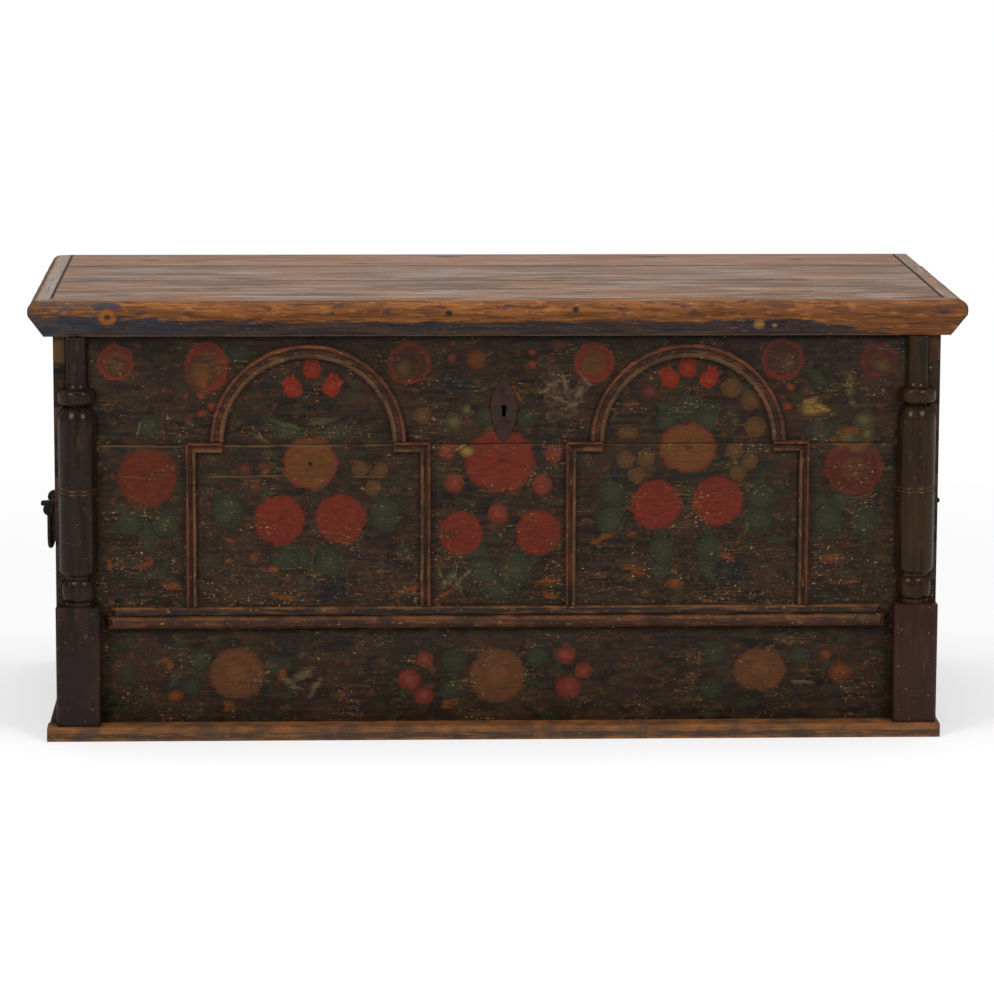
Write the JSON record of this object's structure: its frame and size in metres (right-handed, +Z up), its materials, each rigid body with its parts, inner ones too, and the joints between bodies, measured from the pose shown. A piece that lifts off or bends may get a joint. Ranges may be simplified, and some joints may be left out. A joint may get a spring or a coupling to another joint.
{
  "type": "painted blanket chest",
  "caption": "Long painted wooden chest with a hinged flat lid, turned corner half columns, round arch mouldings, a lock and a swinging bail handle at each end.",
  "frame": {"origin": "on the floor, under the middle of the carcase", "axes": "+X to the right along the front, +Y towards the back, +Z up; the painted front faces -Y"},
  "size_m": [1.3004, 0.5885, 0.6185],
  "materials": {
    "painted_front": "old oil paint, scratched",
    "bare_pine": "bare aged softwood",
    "stained_side": "worn stain",
    "dark_column": "glossy dark paint",
    "dark_pedestal": "dark paint, worn edges",
    "painted_moulding": "red-brown paint, worn edges",
    "worn_base": "worn paint over bare wood",
    "worn_lid": "worn grey-brown top",
    "lid_edge": "bare wood with worn dark paint",
    "forged_iron": "forged, rusted dark"
  },
  "bodies": {
    "chest": {"front_board_bottom": "painted_front", "front_board_middle": "painted_front", "front_board_top": "painted_front", "back_board_lower": "bare_pine", "back_board_upper": "bare_pine", "left_side_lower": "stained_side", "left_side_upper": "stained_side", "right_side_lower": "stained_side", "right_side_upper": "stained_side", "floor_board_front": "bare_pine", "floor_board_middle": "bare_pine", "floor_board_back": "bare_pine", "left_column": "dark_column", "right_column": "dark_column", "left_pedestal": "dark_pedestal", "right_pedestal": "dark_pedestal", "left_arch": "painted_moulding", "right_arch": "painted_moulding", "left_arch_impost_left": "painted_moulding", "left_arch_impost_right": "painted_moulding", "right_arch_impost_left": "painted_moulding", "right_arch_impost_right": "painted_moulding", "left_arch_upright_left": "painted_moulding", "left_arch_upright_right": "painted_moulding", "right_arch_upright_left": "painted_moulding", "right_arch_upright_right": "painted_moulding", "rail_lower": "painted_moulding", "rail_upper": "painted_moulding", "base_front": "worn_base", "base_left": "worn_base", "base_right": "worn_base", "escutcheon": "forged_iron", "lock_case": "forged_iron", "left_hinge_leaf": "forged_iron", "left_hinge_pin": "forged_iron", "right_hinge_leaf": "forged_iron", "right_hinge_pin": "forged_iron", "left_eye_front": "forged_iron", "left_eye_back": "forged_iron", "left_rose_front": "forged_iron", "left_rose_back": "forged_iron", "right_eye_front": "forged_iron", "right_eye_back": "forged_iron", "right_rose_front": "forged_iron", "right_rose_back": "forged_iron"},
    "lid": {"lid_board_front": "worn_lid", "lid_board_middle": "worn_lid", "lid_board_back": "worn_lid", "lid_moulding_front": "lid_edge", "lid_moulding_left": "lid_edge", "lid_moulding_right": "lid_edge", "left_hinge_strap": "forged_iron", "right_hinge_strap": "forged_iron", "lock_staple": "forged_iron"},
    "bolt": {"lock_bolt": "forged_iron"},
    "left_bail": {"left_bail": "forged_iron"},
    "right_bail": {"right_bail": "forged_iron"}
  },
  "joints": [
    {"name": "lid_hinge", "type": "hinge", "parent": "chest", "child": "lid", "pos_m": [0, 0.2765, 0.5805], "axis": [-1, 0, 0], "range_deg": [0, 100]},
    {"name": "bolt_slide", "type": "slide", "parent": "chest", "child": "bolt", "axis": [1, 0, 0], "range_m": [0, 0.013]},
    {"name": "left_bail_swing", "type": "hinge", "parent": "chest", "child": "left_bail", "pos_m": [-0.638, 0, 0.287], "axis": [0, 1, 0], "range_deg": [-15, 195]},
    {"name": "right_bail_swing", "type": "hinge", "parent": "chest", "child": "right_bail", "pos_m": [0.638, 0, 0.287], "axis": [0, -1, 0], "range_deg": [-15, 195]}
  ]
}
